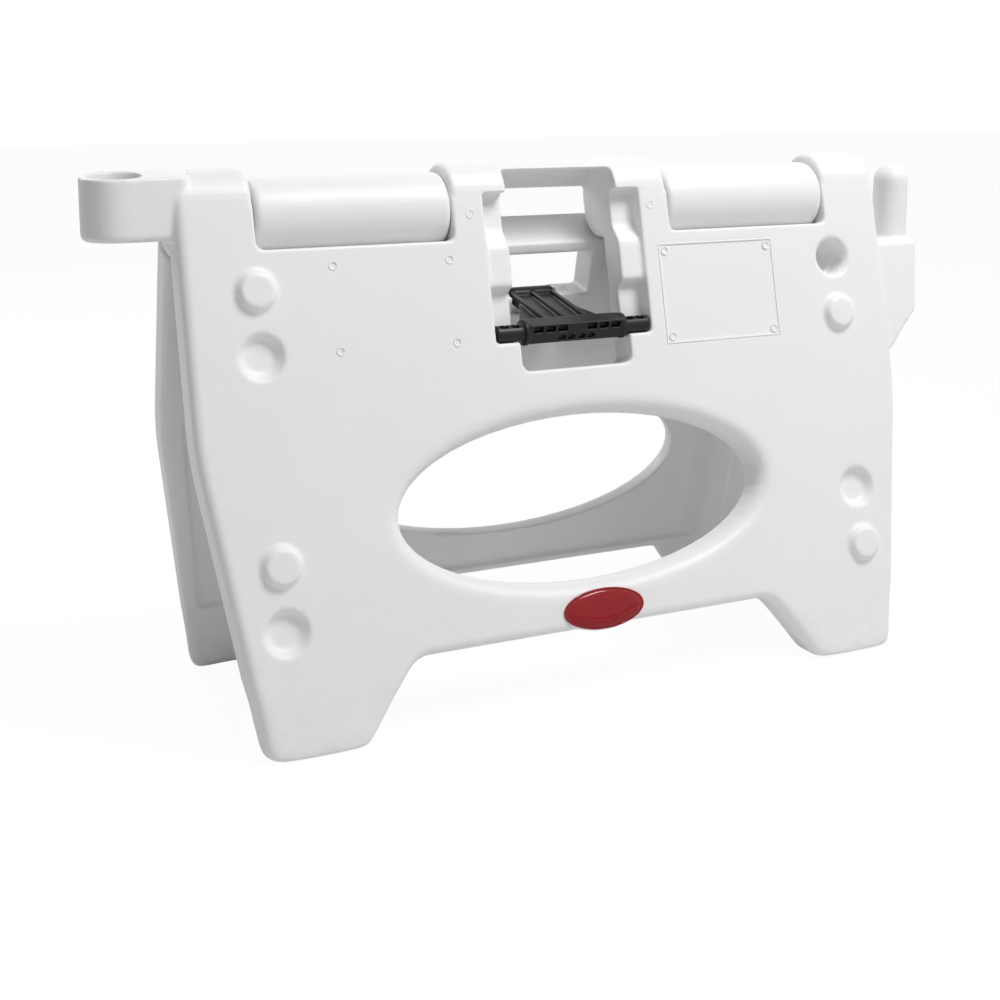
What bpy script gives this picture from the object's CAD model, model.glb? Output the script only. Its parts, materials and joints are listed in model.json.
"""Dresses the folding safety barrier: soft moulded panels, ribbed stay, domed badge, plain studio."""
import json
import math

import bpy
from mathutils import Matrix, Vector

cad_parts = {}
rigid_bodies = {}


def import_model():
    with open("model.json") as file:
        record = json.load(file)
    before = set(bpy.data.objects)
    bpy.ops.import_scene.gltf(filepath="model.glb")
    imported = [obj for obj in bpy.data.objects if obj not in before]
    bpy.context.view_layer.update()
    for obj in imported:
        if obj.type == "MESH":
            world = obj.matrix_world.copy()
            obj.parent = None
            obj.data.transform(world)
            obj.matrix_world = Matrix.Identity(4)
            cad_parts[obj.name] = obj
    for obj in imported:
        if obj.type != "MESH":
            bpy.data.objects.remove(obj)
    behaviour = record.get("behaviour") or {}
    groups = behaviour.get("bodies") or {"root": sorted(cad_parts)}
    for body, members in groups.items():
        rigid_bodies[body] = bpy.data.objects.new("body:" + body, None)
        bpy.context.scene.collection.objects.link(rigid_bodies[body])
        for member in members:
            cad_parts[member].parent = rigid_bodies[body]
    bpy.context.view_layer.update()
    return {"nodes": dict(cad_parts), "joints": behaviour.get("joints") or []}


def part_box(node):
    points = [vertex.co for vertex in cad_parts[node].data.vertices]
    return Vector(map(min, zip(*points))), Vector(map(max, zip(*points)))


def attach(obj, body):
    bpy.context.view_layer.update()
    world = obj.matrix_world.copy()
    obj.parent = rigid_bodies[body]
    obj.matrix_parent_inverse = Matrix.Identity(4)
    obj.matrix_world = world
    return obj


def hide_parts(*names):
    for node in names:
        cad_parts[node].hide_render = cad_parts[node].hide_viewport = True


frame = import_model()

bl_info = {
    "name": "Folding safety barrier",
    "version": (1, 0, 0),
    "blender": (4, 5, 0),
    "location": "3D View > Sidebar > Barrier",
    "description": "Gives the barrier's solids their moulded surfaces and sets the studio",
    "category": "Object",
}

MM = 0.001

# The panels: their lean, the hinge's height, their middle in X, how far their outer faces stand
# from the hinge's axis, and the turn about X that points a primitive's Z straight off the front.
LEAN = math.radians(13)
HINGE_Z = frame["joints"][0]["pos_m"][2]
MIDDLE_X = -4.5 * MM
PANEL_FACE = 38 * MM
UPRIGHT = math.pi / 2 - LEAN
STAY_TILT = math.radians(13.6)

# Soft copies: their most triangles, the factor of a smoothing pass, and the share of the foot zone
# over which the feet's extra smoothing grows.
MOST_FACES = 170000
SMOOTH_STEP = 0.5
FOOT_FADE = 0.4

# Places on a panel are u and v in metres: u along X from its middle, v down from the hinge.
DEEP_HOLE = {"u": 0.347, "v": 0.078, "radius": 15 * MM, "stand_off": 5 * MM, "edge": 2.5 * MM}
PLATE_LOW, PLATE_HIGH = (0.112, 0.052), (0.263, 0.163)
ROUND_MARKS = ([(u, v) for u in (-0.266, -0.139) for v in (0.057, 0.143)]
               + [(-0.111, 0.011), (0.107, 0.008)]
               + [(u, v) for u in (0.12, 0.255) for v in (0.06, 0.155)])
TOOL_START = -4 * MM
FIELD = {"floor_u": 0.252, "rim_u": 0.286, "top_v": 0.212, "low_v": 0.446}
POCKET = {"inner_u": 0.306, "top_u": 0.398, "low_u": 0.374, "top_v": 0.222, "low_v": 0.447}

# The bracket's two cuts: the slanted front in x and y, the tail in x and height above the hinge.
FRONT_CUT, FRONT_REACH = ((0.5055, 0.009), (0.4507, -0.080)), 0.2
TAIL_CUT, TAIL_REACH = ((0.4985, -0.095), (0.4172, -0.179)), 0.1

# The arm's sloped top: the wedge's span in x, y and height above the hinge,
# and the fall of the slope from its start towards the arm's end and front.
ARM_X, ARM_Y, ARM_Z = (-0.53, -0.405), (-0.06, 0.05), (0.0498, 0.2)
SLOPE_START, SLOPE_RATES = (-0.43, 0.034), (0.03, 0.09)

# A round mould mark: its thickness and hollow, and its rim, slope and floor as shares of its radius.
MARK = {"depth": 1.3 * MM, "hollow": 1.1 * MM, "rim": 0.22, "slope": 0.14, "floor": 0.3, "edge": 0.12 * MM}
PLATE_RIM = {"sink": 0.35 * MM, "depth": 1.8 * MM, "edge": 0.35 * MM}

# The badge's disc: its thickness, how far its middle stands off the panel, and the play at its ends.
BADGE = {"depth": 2.4 * MM, "stand_off": 0.6 * MM, "play": 0.3 * MM}

# Rings of the badge from its rim inwards: share of the ring before, and rise in millimetres.
BADGE_RINGS = ((0.985, 0.3), (0.955, 0.05), (0.985, -0.35), (0.99, 0.02), (0.985, 0.5),
               (0.955, 0.65), (0.93, 0.65), (0.91, 0.5), (0.88, 0.35), (0.8, 0.25),
               (0.65, 0.1), (0.4, 0.03))

# Plastics: the colour of their grime, and how far roughness strays to either side.
DUST = (0.42, 0.4, 0.37, 1)
ROUGH_DRIFT = 0.05

# Stage: the floor's size and drop, its whiteness to the camera, and the strength of the light all round.
FLOOR_SIZE, FLOOR_DROP, FLOOR_WHITE, ROUND_LIGHT = 30, 0.2 * MM, 0.92, 0.26

# The camera's place is measured from the middle of the hinge.
CAMERA = {"place_mm": (-778.2, -1485.5, 132.5), "yaw": 25.612, "pitch": 9.443,
          "lens": 55.159, "shift": (0.0075, -0.1624)}

# Lamps: name, place, target, diameter and power.
LAMPS = (("Key", (0.9, -1.3, 2.75), (0, 0, 0.3), 1.3, 66),
         ("Back", (-1.2, 2.6, 2.0), (0, 0.1, 0.3), 1.8, 34))


def on_panel(u, v, w, side=-1):
    """Point of a panel in the frame: u along X, v down from the hinge, w out; side -1 is the front."""
    return Vector((
        MIDDLE_X + u,
        side * (v * math.sin(LEAN) + w * math.cos(LEAN)),
        HINGE_Z - v * math.cos(LEAN) + w * math.sin(LEAN),
    ))


def off_panel(height):
    """Step of a given height off the front panel's face."""
    return on_panel(0, 0, height) - on_panel(0, 0, 0)


class BarrierSizes(bpy.types.PropertyGroup):
    """Sizes of the moulded details"""
    panel_voxel: bpy.props.FloatProperty(
        name="Panel mesh", description="Cell size of the panels' mesh", default=2.0 * MM, unit="LENGTH")
    stay_voxel: bpy.props.FloatProperty(
        name="Stay mesh", description="Cell size of the stay's mesh", default=1.1 * MM, unit="LENGTH")
    panel_soft: bpy.props.IntProperty(
        name="Panel softness", description="Smoothing passes on the panels' edges", default=5, min=0)
    foot_soft: bpy.props.IntProperty(
        name="Foot softness", description="More smoothing passes on the feet", default=110, min=0)
    foot_zone: bpy.props.FloatProperty(
        name="Foot zone", description="Height up to which the feet are softened", default=75 * MM, unit="LENGTH")
    field_depth: bpy.props.FloatProperty(
        name="Field", description="Depth of the field round the rear ellipse", default=8.5 * MM, unit="LENGTH")
    pocket_depth: bpy.props.FloatProperty(
        name="Side pocket", description="Depth of the rear panel's side pockets", default=6.5 * MM, unit="LENGTH")
    badge_v: bpy.props.FloatProperty(
        name="Badge", description="Distance of the badge down the panel", default=436 * MM, unit="LENGTH")
    hole_depth: bpy.props.FloatProperty(
        name="Deep hole", description="Depth of the deep hole's bit", default=39 * MM, unit="LENGTH")
    stay_soft: bpy.props.IntProperty(
        name="Stay softness", description="Smoothing passes on the stay's edges", default=2, min=0)
    mark_radius: bpy.props.FloatProperty(
        name="Mould mark", description="Radius of a small round mould mark", default=4.6 * MM, unit="LENGTH")
    plate_line: bpy.props.FloatProperty(
        name="Plate rim", description="Width of the thin rim round the bare plate", default=1.6 * MM, unit="LENGTH")


class BarrierColours(bpy.types.PropertyGroup):
    """Colours of the finishes"""
    shell: bpy.props.FloatVectorProperty(
        name="Shell", description="Moulded white plastic", subtype="COLOR", size=3, default=(0.87, 0.87, 0.875))
    stay: bpy.props.FloatVectorProperty(
        name="Stay", description="Moulded black plastic", subtype="COLOR", size=3, default=(0.007, 0.007, 0.0075))
    badge: bpy.props.FloatVectorProperty(
        name="Badge", description="Red under the clear dome", subtype="COLOR", size=3, default=(0.33, 0.002, 0.006))
    plug: bpy.props.FloatVectorProperty(
        name="Plug", description="Grey plastic of the hinge plugs", subtype="COLOR", size=3, default=(0.3, 0.3, 0.31))
    steel: bpy.props.FloatVectorProperty(
        name="Pin", description="Drawn steel of the stay's pin", subtype="COLOR", size=3, default=(0.62, 0.62, 0.63))
    backdrop: bpy.props.FloatProperty(
        name="Backdrop", description="Brightness of the backdrop", default=1.03, min=0)


def sizes():
    return bpy.context.scene.barrier_sizes


def colours():
    return bpy.context.scene.barrier_colours


def shader_group(name, inputs, outputs):
    """New node group with float inputs, each with its value, and float outputs."""
    group = bpy.data.node_groups.new(name, "ShaderNodeTree")
    for key, value in inputs.items():
        socket = group.interface.new_socket(key, in_out="INPUT", socket_type="NodeSocketFloat")
        socket.default_value = value
    for key in outputs:
        group.interface.new_socket(key, in_out="OUTPUT", socket_type="NodeSocketFloat")
    return group


def mould_skin():
    """Node group: fine grain and slow waviness of a blow-moulded skin, as a height and a mottle."""
    group = bpy.data.node_groups.get("Mould skin")
    if group:
        return group
    group = shader_group("Mould skin", {"Grain Scale": 700.0, "Grain Share": 0.2, "Wave Scale": 9.0},
                         ("Height", "Mottle"))
    nodes, links = group.nodes, group.links
    given = nodes.new("NodeGroupInput")
    result = nodes.new("NodeGroupOutput")
    place = nodes.new("ShaderNodeTexCoord")
    grain = nodes.new("ShaderNodeTexNoise")
    grain.inputs["Detail"].default_value = 2.0
    wave = nodes.new("ShaderNodeTexNoise")
    wave.inputs["Detail"].default_value = 1.0
    blend = nodes.new("ShaderNodeMix")
    links.new(place.outputs["Object"], grain.inputs["Vector"])
    links.new(place.outputs["Object"], wave.inputs["Vector"])
    links.new(given.outputs["Grain Scale"], grain.inputs["Scale"])
    links.new(given.outputs["Wave Scale"], wave.inputs["Scale"])
    links.new(given.outputs["Grain Share"], blend.inputs["Factor"])
    links.new(wave.outputs["Fac"], blend.inputs["A"])
    links.new(grain.outputs["Fac"], blend.inputs["B"])
    links.new(blend.outputs["Result"], result.inputs["Height"])
    links.new(wave.outputs["Fac"], result.inputs["Mottle"])
    return group


def handling():
    """Node group: faint grime that gathers towards the floor, as a mask."""
    group = bpy.data.node_groups.get("Handling")
    if group:
        return group
    group = shader_group("Handling", {"Reach": 0.16, "Amount": 0.25}, ("Mask",))
    nodes, links = group.nodes, group.links
    given = nodes.new("NodeGroupInput")
    result = nodes.new("NodeGroupOutput")
    place = nodes.new("ShaderNodeTexCoord")
    split = nodes.new("ShaderNodeSeparateXYZ")
    fade = nodes.new("ShaderNodeMapRange")
    fade.inputs["From Min"].default_value = 0.0
    fade.inputs["To Min"].default_value = 1.0
    fade.inputs["To Max"].default_value = 0.0
    specks = nodes.new("ShaderNodeTexNoise")
    specks.inputs["Scale"].default_value = 60.0
    specks.inputs["Detail"].default_value = 6.0
    ramp = nodes.new("ShaderNodeMapRange")
    ramp.inputs["From Min"].default_value = 0.48
    ramp.inputs["From Max"].default_value = 0.72
    joined = nodes.new("ShaderNodeMath")
    joined.operation = "MULTIPLY"
    scaled = nodes.new("ShaderNodeMath")
    scaled.operation = "MULTIPLY"
    links.new(place.outputs["Object"], split.inputs["Vector"])
    links.new(place.outputs["Object"], specks.inputs["Vector"])
    links.new(split.outputs["Z"], fade.inputs["Value"])
    links.new(given.outputs["Reach"], fade.inputs["From Max"])
    links.new(specks.outputs["Fac"], ramp.inputs["Value"])
    links.new(fade.outputs["Result"], joined.inputs[0])
    links.new(ramp.outputs["Result"], joined.inputs[1])
    links.new(joined.outputs["Value"], scaled.inputs[0])
    links.new(given.outputs["Amount"], scaled.inputs[1])
    links.new(scaled.outputs["Value"], result.inputs["Mask"])
    return group


def moulded_plastic(name, colour, shade, roughness, grain, depth, grime=0.0, specular=0.5):
    """Plastic with a grained skin: its colour drifts to a share of itself, its roughness with the mottle."""
    material = bpy.data.materials.get(name)
    if material:
        return material
    material = bpy.data.materials.new(name)
    material.use_nodes = True
    nodes, links = material.node_tree.nodes, material.node_tree.links
    shader = nodes["Principled BSDF"]
    shader.inputs["Specular IOR Level"].default_value = specular
    skin = nodes.new("ShaderNodeGroup")
    skin.node_tree = mould_skin()
    skin.inputs["Grain Scale"].default_value = grain
    tint = nodes.new("ShaderNodeMix")
    tint.data_type = "RGBA"
    tint.inputs[6].default_value = (*colour, 1)
    tint.inputs[7].default_value = (*(shade * c for c in colour), 1)
    links.new(skin.outputs["Mottle"], tint.inputs["Factor"])
    dusty = nodes.new("ShaderNodeMix")
    dusty.data_type = "RGBA"
    dusty.inputs[7].default_value = DUST
    worn = nodes.new("ShaderNodeGroup")
    worn.node_tree = handling()
    worn.inputs["Amount"].default_value = grime
    links.new(worn.outputs["Mask"], dusty.inputs["Factor"])
    links.new(tint.outputs[2], dusty.inputs[6])
    links.new(dusty.outputs[2], shader.inputs["Base Color"])
    rough = nodes.new("ShaderNodeMapRange")
    rough.inputs["To Min"].default_value = roughness - ROUGH_DRIFT
    rough.inputs["To Max"].default_value = roughness + ROUGH_DRIFT
    links.new(skin.outputs["Mottle"], rough.inputs["Value"])
    links.new(rough.outputs["Result"], shader.inputs["Roughness"])
    bump = nodes.new("ShaderNodeBump")
    bump.inputs["Strength"].default_value = 1.0
    bump.inputs["Distance"].default_value = depth
    links.new(skin.outputs["Height"], bump.inputs["Height"])
    links.new(bump.outputs["Normal"], shader.inputs["Normal"])
    return material


def shell_plastic():
    return moulded_plastic("White shell", colours().shell, shade=0.965, roughness=0.42, grain=900.0,
                           depth=0.25 * MM, grime=0.07, specular=0.4)


def stay_plastic():
    return moulded_plastic("Black stay", colours().stay, shade=2.2, roughness=0.36, grain=1800.0,
                           depth=0.1 * MM, specular=0.28)


def plug_plastic():
    return moulded_plastic("Grey plug", colours().plug, shade=0.8, roughness=0.5, grain=1500.0,
                           depth=0.1 * MM)


def badge_resin():
    """Red face under a clear, glossy coat."""
    material = moulded_plastic("Badge resin", colours().badge, shade=0.72, roughness=0.22, grain=2600.0,
                               depth=0.02 * MM, specular=0.1)
    shader = material.node_tree.nodes["Principled BSDF"]
    shader.inputs["Coat Weight"].default_value = 0.5
    shader.inputs["Coat Roughness"].default_value = 0.04
    return material


def pin_steel():
    material = moulded_plastic("Pin steel", colours().steel, shade=0.85, roughness=0.32, grain=2200.0,
                               depth=0.02 * MM)
    material.node_tree.nodes["Principled BSDF"].inputs["Metallic"].default_value = 1.0
    return material


def deselect():
    for item in bpy.context.selected_objects:
        item.select_set(False)


def pick(item):
    deselect()
    item.select_set(True)
    bpy.context.view_layer.objects.active = item


def finish_piece(piece, body, slot, material, *nodes):
    """Gives a piece its material and slot, the solids that it stands for and its body."""
    piece.data.materials.clear()
    piece.data.materials.append(material)
    if nodes:
        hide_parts(*nodes)
    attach(piece, body)


def turn(piece, angle):
    """Turns a piece's mesh about X through the frame's origin."""
    piece.rotation_euler = (angle, 0, 0)
    bpy.ops.object.transform_apply(location=False, rotation=True, scale=False)


def apply_modifier(piece, kind, **settings):
    """Adds one modifier to the active piece and applies it at once."""
    modifier = piece.modifiers.new(kind.title(), kind)
    for key, value in settings.items():
        setattr(modifier, key, value)
    bpy.ops.object.modifier_apply(modifier=modifier.name)


def settle(piece):
    """Moves a piece's place, turn and scale into its mesh."""
    pick(piece)
    bpy.ops.object.transform_apply(location=True, rotation=True, scale=True)


def carve(piece, tools):
    """Cuts each tool's shape out of a piece, and removes the tool."""
    for tool in tools:
        pick(piece)
        apply_modifier(piece, "BOOLEAN", operation="DIFFERENCE", solver="EXACT", object=tool)
        bpy.data.objects.remove(tool)


def soften_feet(piece, passes):
    """Rounds the feet more than the rest, with an effect that grows downwards over FOOT_FADE of their zone."""
    group = piece.vertex_groups.new(name="feet")
    top = sizes().foot_zone
    for vertex in piece.data.vertices:
        if vertex.co.z < top:
            group.add([vertex.index], min(1.0, (top - vertex.co.z) / (FOOT_FADE * top)), "REPLACE")
    apply_modifier(piece, "SMOOTH", factor=SMOOTH_STEP, iterations=passes, vertex_group="feet")
    piece.vertex_groups.clear()


def soft_copy(node, name, angle, voxel, passes, tools=(), foot_passes=0):
    """Carved copy of a solid with a moulding's soft edges, meshed while its face stands upright."""
    pick(frame["nodes"][node])
    bpy.ops.object.duplicate()
    piece = bpy.context.object
    piece.name = piece.data.name = name
    for key in list(piece.keys()):
        del piece[key]
    bpy.ops.object.parent_clear(type="CLEAR_KEEP_TRANSFORM")
    bpy.ops.object.mode_set(mode="EDIT")
    bpy.ops.mesh.select_all(action="SELECT")
    bpy.ops.mesh.remove_doubles(threshold=0.02 * MM)
    bpy.ops.object.mode_set(mode="OBJECT")
    carve(piece, tools)
    pick(piece)
    turn(piece, angle)
    apply_modifier(piece, "REMESH", mode="VOXEL", voxel_size=voxel)
    if passes:
        apply_modifier(piece, "SMOOTH", factor=SMOOTH_STEP, iterations=passes)
    count = 2 * len(piece.data.polygons)
    if count > MOST_FACES:
        apply_modifier(piece, "DECIMATE", ratio=MOST_FACES / count)
    turn(piece, -angle)
    if foot_passes:
        soften_feet(piece, foot_passes)
    bpy.ops.object.shade_smooth()
    return piece


def deep_hole():
    """Round bit with a softened end, for the deep hole at the upper right of the front panel."""
    depth = sizes().hole_depth
    deselect()
    bpy.ops.mesh.primitive_cylinder_add(
        vertices=64, radius=DEEP_HOLE["radius"], depth=depth, rotation=(UPRIGHT, 0, 0),
        location=on_panel(DEEP_HOLE["u"], DEEP_HOLE["v"], PANEL_FACE + DEEP_HOLE["stand_off"] - depth / 2))
    tool = bpy.context.object
    settle(tool)
    apply_modifier(tool, "BEVEL", width=DEEP_HOLE["edge"], segments=4, limit_method="ANGLE")
    return tool


def shaped_tool(place, round_r=0):
    """Six-sided tool: place gives each corner's point from its signs along X, Y and Z."""
    deselect()
    bpy.ops.mesh.primitive_cube_add(size=2)
    tool = bpy.context.object
    for vertex in tool.data.vertices:
        vertex.co = place(*(1 if value > 0 else -1 for value in vertex.co))
    pick(tool)
    if round_r:
        apply_modifier(tool, "BEVEL", width=round_r, segments=4)
    return tool


def slab(start, end, depth_axis, reach):
    """Slab whose face passes through two points and along an axis: it cuts away what lies beyond."""
    side = (end - start).normalized()
    outward = depth_axis.cross(side)

    def place(x, y, z):
        along = end if x > 0 else start - side * reach
        return along - y * depth_axis * reach + (outward * reach if z > 0 else Vector())

    return shaped_tool(place)


def bracket_tools():
    """Slabs that give the bracket under the peg its wedge: slanted at the front, tapered at the tail."""
    front = [Vector((x, y, HINGE_Z)) for x, y in FRONT_CUT]
    tail = [Vector((x, 0, HINGE_Z + height)) for x, height in TAIL_CUT]
    return [slab(*front, Vector((0, 0, 1)), FRONT_REACH), slab(*tail, Vector((0, -1, 0)), TAIL_REACH)]


def arm_tool():
    """Wedge that slopes the top of the socket's arm gently down to the front and to its end."""
    def place(x, y, z):
        across, along = ARM_X[x > 0], ARM_Y[y > 0]
        fall = SLOPE_RATES[0] * (SLOPE_START[0] - across) + SLOPE_RATES[1] * (SLOPE_START[1] - along)
        return Vector((across, along, HINGE_Z + (ARM_Z[1] if z > 0 else ARM_Z[0] - max(fall, 0))))

    return shaped_tool(place)


def recess_tools():
    """Tools for the rear panel's inner face: a shallow field round the ellipse, a pocket beside each side."""
    def field(x, y, z):
        u = FIELD["floor_u"] if y > 0 else FIELD["rim_u"]
        v = FIELD["top_v"] if z > 0 else FIELD["low_v"]
        return on_panel(x * u, v, sizes().field_depth if y > 0 else TOOL_START, 1)

    def pocket(side):
        def place(x, y, z):
            end = "top" if z > 0 else "low"
            u = POCKET[end + "_u"] if x * side > 0 else POCKET["inner_u"]
            return on_panel(side * u, POCKET[end + "_v"], sizes().pocket_depth if y > 0 else TOOL_START, 1)
        return place

    return [shaped_tool(place, 3 * MM) for place in (field, pocket(-1), pocket(1))]


class BARRIER_OT_front_shell(bpy.types.Operator):
    """Make the front panel with its knuckles, arm and peg as one soft moulding"""
    bl_idname = "barrier.front_shell"
    bl_label = "Front shell"

    def execute(self, context):
        piece = soft_copy("front_panel", "front_shell", LEAN, sizes().panel_voxel, sizes().panel_soft,
                          [deep_hole(), arm_tool(), *bracket_tools()], sizes().foot_soft)
        finish_piece(piece, "front_leg", "white_shell", shell_plastic(), "front_panel")
        return {"FINISHED"}


class BARRIER_OT_rear_shell(bpy.types.Operator):
    """Make the rear panel with its two hinge barrels as one soft moulding"""
    bl_idname = "barrier.rear_shell"
    bl_label = "Rear shell"

    def execute(self, context):
        piece = soft_copy("rear_panel", "rear_shell", -LEAN, sizes().panel_voxel, sizes().panel_soft,
                          recess_tools(), sizes().foot_soft)
        finish_piece(piece, "rear_leg", "white_shell", shell_plastic(), "rear_panel")
        return {"FINISHED"}


class BARRIER_OT_stay(bpy.types.Operator):
    """Make the ribbed black stay with softened edges"""
    bl_idname = "barrier.stay"
    bl_label = "Stay"

    def execute(self, context):
        piece = soft_copy("stay", "ribbed_stay", -STAY_TILT, sizes().stay_voxel, sizes().stay_soft)
        finish_piece(piece, "stay_arm", "black_stay", stay_plastic(), "stay")
        return {"FINISHED"}


def choose_front(piece):
    """Leaves edit mode open on a piece with only its faces towards the front panel's outside chosen."""
    bpy.ops.object.mode_set(mode="EDIT")
    bpy.ops.mesh.select_mode(type="FACE")
    bpy.ops.mesh.select_all(action="DESELECT")
    bpy.ops.object.mode_set(mode="OBJECT")
    outward = piece.matrix_world.to_3x3().inverted() @ off_panel(1)
    for face in piece.data.polygons:
        face.select = face.normal.dot(outward) > 0.9
    bpy.ops.object.mode_set(mode="EDIT")


def mould_mark(u, v):
    """Small round mark of an ejector pin: a low rim with a shallow hollow inside."""
    radius = sizes().mark_radius
    deselect()
    bpy.ops.mesh.primitive_cylinder_add(
        vertices=32, radius=radius, depth=MARK["depth"], rotation=(UPRIGHT, 0, 0),
        location=on_panel(u, v, PANEL_FACE))
    mark = bpy.context.object
    choose_front(mark)
    bpy.ops.mesh.inset(thickness=MARK["rim"] * radius)
    bpy.ops.mesh.inset(thickness=MARK["slope"] * radius)
    bpy.ops.transform.translate(value=tuple(off_panel(-MARK["hollow"])))
    bpy.ops.mesh.inset(thickness=MARK["floor"] * radius)
    bpy.ops.object.mode_set(mode="OBJECT")
    settle(mark)
    apply_modifier(mark, "BEVEL", width=MARK["edge"], segments=2, limit_method="ANGLE")
    bpy.ops.object.shade_smooth_by_angle(angle=math.radians(40))
    return mark


def join(parts, name):
    """Joins parts into one piece with a name of its own."""
    pick(parts[0])
    for part in parts[1:]:
        part.select_set(True)
    bpy.ops.object.join()
    piece = bpy.context.object
    piece.name = piece.data.name = name
    return piece


def plate_rim():
    """Thin raised rim round the place of the plate, which is left bare."""
    (low_u, low_v), (high_u, high_v) = PLATE_LOW, PLATE_HIGH
    deselect()
    bpy.ops.mesh.primitive_plane_add(
        size=1, rotation=(UPRIGHT, 0, 0),
        location=on_panel((low_u + high_u) / 2, (low_v + high_v) / 2, PANEL_FACE - PLATE_RIM["sink"]))
    rim = bpy.context.object
    rim.scale = (high_u - low_u, high_v - low_v, 1)
    settle(rim)
    rim.name = rim.data.name = "plate_rim"
    bpy.ops.object.mode_set(mode="EDIT")
    bpy.ops.mesh.select_all(action="SELECT")
    bpy.ops.mesh.inset(thickness=sizes().plate_line)
    bpy.ops.mesh.delete(type="FACE")
    bpy.ops.mesh.select_all(action="SELECT")
    bpy.ops.mesh.normals_make_consistent(inside=False)
    bpy.ops.object.mode_set(mode="OBJECT")
    apply_modifier(rim, "SOLIDIFY", thickness=PLATE_RIM["depth"], offset=0)
    apply_modifier(rim, "BEVEL", width=PLATE_RIM["edge"], segments=3, limit_method="ANGLE")
    bpy.ops.object.shade_smooth_by_angle(angle=math.radians(40))
    return rim


class BARRIER_OT_marks(bpy.types.Operator):
    """Make the small mould marks and the thin rim of the bare plate"""
    bl_idname = "barrier.marks"
    bl_label = "Mould marks and plate rim"

    def execute(self, context):
        marks = join([mould_mark(u, v) for u, v in ROUND_MARKS], "mould_marks")
        finish_piece(marks, "front_leg", "white_shell", shell_plastic())
        finish_piece(plate_rim(), "front_leg", "white_shell", shell_plastic())
        return {"FINISHED"}


def raise_ring(centre, share, height):
    """Draws the chosen face in to a share of its size, lifts it off the panel and returns its new centre."""
    step = off_panel(height)
    bpy.ops.mesh.extrude_region_move(TRANSFORM_OT_translate={"value": tuple(step)})
    bpy.ops.transform.resize(value=(share, share, share), center_override=tuple(centre + step))
    return centre + step


class BARRIER_OT_badge(bpy.types.Operator):
    """Make the bare oval badge: a thin rim, a groove and a clear-coated dome"""
    bl_idname = "barrier.badge"
    bl_label = "Badge"

    def execute(self, context):
        low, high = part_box("badge")
        half_u, half_v = (high[0] - low[0]) / 2, (high[2] - low[2]) / 2 / math.cos(LEAN) - BADGE["play"]
        middle = PANEL_FACE + BADGE["stand_off"]
        deselect()
        bpy.ops.mesh.primitive_cylinder_add(
            vertices=96, radius=1, depth=BADGE["depth"], rotation=(UPRIGHT, 0, 0),
            location=on_panel(0, sizes().badge_v, middle))
        badge = context.object
        badge.name = badge.data.name = "oval_badge"
        badge.scale = (half_u, half_v, 1)
        settle(badge)
        choose_front(badge)
        centre = on_panel(0, sizes().badge_v, middle + BADGE["depth"] / 2)
        for share, height in BADGE_RINGS:
            centre = raise_ring(centre, share, height * MM)
        bpy.ops.object.mode_set(mode="OBJECT")
        bpy.ops.object.shade_smooth_by_angle(angle=math.radians(50))
        finish_piece(badge, "front_leg", "red_badge", badge_resin(), "badge")
        return {"FINISHED"}


class BARRIER_OT_fixings(bpy.types.Operator):
    """Give the hinge plugs and the pin their finishes"""
    bl_idname = "barrier.fixings"
    bl_label = "Fixings"

    def execute(self, context):
        for name, node in frame["nodes"].items():
            if name in ("front_panel", "rear_panel", "stay", "badge"):
                continue
            node.data.materials.clear()
            node.data.materials.append(pin_steel() if name == "stay_pivot_pin" else plug_plastic())
            pick(node)
            bpy.ops.object.shade_smooth_by_angle(angle=math.radians(35))
        return {"FINISHED"}


def area_lamp(name, place, target, size, power):
    """Round, soft lamp aimed at a target."""
    data = bpy.data.lights.new(name, "AREA")
    data.shape = "DISK"
    data.size = size
    data.energy = power
    lamp = bpy.data.objects.new(name, data)
    bpy.context.scene.collection.objects.link(lamp)
    lamp.location = place
    lamp.rotation_euler = (Vector(target) - Vector(place)).to_track_quat("-Z", "Y").to_euler()


def backdrop_material():
    """Pale floor that shows white to the camera and keeps a soft shadow."""
    material = bpy.data.materials.new("Backdrop")
    material.use_nodes = True
    nodes, links = material.node_tree.nodes, material.node_tree.links
    shader = nodes["Principled BSDF"]
    shader.inputs["Base Color"].default_value = (0.8, 0.8, 0.8, 1)
    shader.inputs["Roughness"].default_value = 0.9
    glow = nodes.new("ShaderNodeEmission")
    glow.inputs["Strength"].default_value = colours().backdrop
    path = nodes.new("ShaderNodeLightPath")
    share = nodes.new("ShaderNodeMath")
    share.operation = "MULTIPLY"
    share.inputs[1].default_value = FLOOR_WHITE
    mix = nodes.new("ShaderNodeMixShader")
    links.new(path.outputs["Is Camera Ray"], share.inputs[0])
    links.new(share.outputs["Value"], mix.inputs["Fac"])
    links.new(shader.outputs["BSDF"], mix.inputs[1])
    links.new(glow.outputs["Emission"], mix.inputs[2])
    links.new(mix.outputs["Shader"], nodes["Material Output"].inputs["Surface"])
    return material


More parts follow.
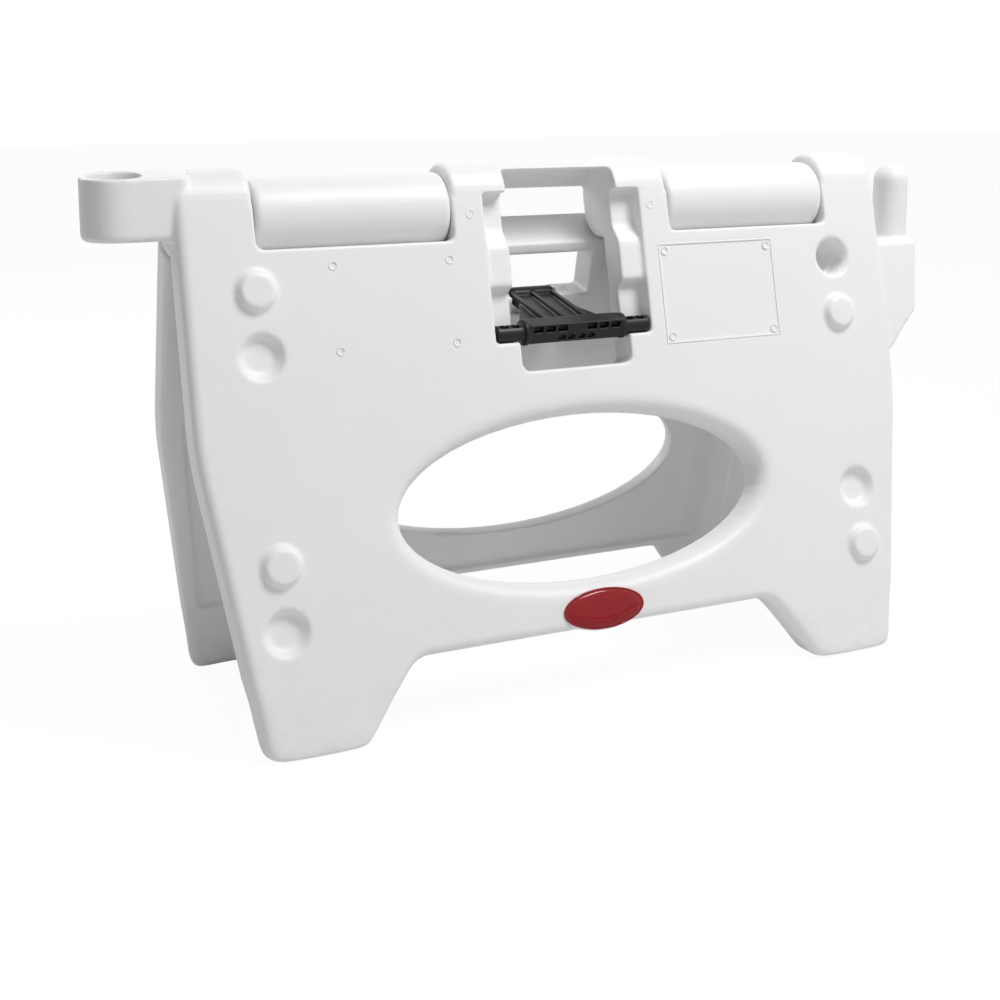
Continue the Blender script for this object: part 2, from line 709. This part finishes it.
def studio_world():
    """Dim white light all round, which the camera and glossy rays see as a white backdrop."""
    world = bpy.data.worlds.new("Studio")
    bpy.context.scene.world = world
    world.use_nodes = True
    nodes, links = world.node_tree.nodes, world.node_tree.links
    plain = nodes["Background"]
    plain.inputs["Color"].default_value = (1, 1, 1, 1)
    plain.inputs["Strength"].default_value = ROUND_LIGHT
    seen = nodes.new("ShaderNodeBackground")
    seen.inputs["Color"].default_value = (1, 1, 1, 1)
    seen.inputs["Strength"].default_value = colours().backdrop
    path = nodes.new("ShaderNodeLightPath")
    either = nodes.new("ShaderNodeMath")
    either.operation = "MAXIMUM"
    mix = nodes.new("ShaderNodeMixShader")
    links.new(path.outputs["Is Camera Ray"], either.inputs[0])
    links.new(path.outputs["Is Glossy Ray"], either.inputs[1])
    links.new(either.outputs["Value"], mix.inputs["Fac"])
    links.new(plain.outputs["Background"], mix.inputs[1])
    links.new(seen.outputs["Background"], mix.inputs[2])
    links.new(mix.outputs["Shader"], nodes["World Output"].inputs["Surface"])


def photo_camera():
    """Camera at the photograph's angle: its place, angles, lens and shift come from the photo's fitted view."""
    data = bpy.data.cameras.new("Camera")
    data.sensor_width = 36.0
    data.lens = CAMERA["lens"]
    data.shift_x, data.shift_y = CAMERA["shift"]
    camera = bpy.data.objects.new("Camera", data)
    bpy.context.scene.collection.objects.link(camera)
    camera.location = Vector((MIDDLE_X, 0, HINGE_Z)) + Vector(CAMERA["place_mm"]) * MM
    camera.rotation_euler = (math.pi / 2 - math.radians(CAMERA["pitch"]), 0, -math.radians(CAMERA["yaw"]))
    bpy.context.scene.camera = camera


class BARRIER_OT_stage(bpy.types.Operator):
    """Set the pale floor, the soft lamps and the camera"""
    bl_idname = "barrier.stage"
    bl_label = "Stage"

    def execute(self, context):
        deselect()
        bpy.ops.mesh.primitive_plane_add(size=FLOOR_SIZE, location=(0, 0, -FLOOR_DROP))
        floor = context.object
        floor.name = "floor"
        floor.data.materials.append(backdrop_material())
        studio_world()
        for lamp in LAMPS:
            area_lamp(*lamp)
        photo_camera()
        context.scene.view_settings.view_transform = "Standard"
        return {"FINISHED"}


class BARRIER_PT_panel(bpy.types.Panel):
    """Lists the barrier's steps"""
    bl_idname = "BARRIER_PT_panel"
    bl_label = "Safety barrier"
    bl_space_type = "VIEW_3D"
    bl_region_type = "UI"
    bl_category = "Barrier"

    def draw(self, context):
        layout = self.layout
        for group in (context.scene.barrier_sizes, context.scene.barrier_colours):
            for key in group.bl_rna.properties.keys():
                if key not in ("rna_type", "name"):
                    layout.prop(group, key)
        for step in STEPS:
            layout.operator(step.bl_idname)


STEPS = (BARRIER_OT_front_shell, BARRIER_OT_rear_shell, BARRIER_OT_stay, BARRIER_OT_marks,
         BARRIER_OT_badge, BARRIER_OT_fixings, BARRIER_OT_stage)
CLASSES = (BarrierSizes, BarrierColours, *STEPS, BARRIER_PT_panel)


def register():
    for item in CLASSES:
        bpy.utils.register_class(item)
    bpy.types.Scene.barrier_sizes = bpy.props.PointerProperty(type=BarrierSizes)
    bpy.types.Scene.barrier_colours = bpy.props.PointerProperty(type=BarrierColours)


def unregister():
    del bpy.types.Scene.barrier_colours
    del bpy.types.Scene.barrier_sizes
    for item in reversed(CLASSES):
        bpy.utils.unregister_class(item)


def main():
    register()
    bpy.ops.barrier.front_shell()
    bpy.ops.barrier.rear_shell()
    bpy.ops.barrier.stay()
    bpy.ops.barrier.marks()
    bpy.ops.barrier.badge()
    bpy.ops.barrier.fixings()
    bpy.ops.barrier.stage()


if __name__ == "__main__":
    main()
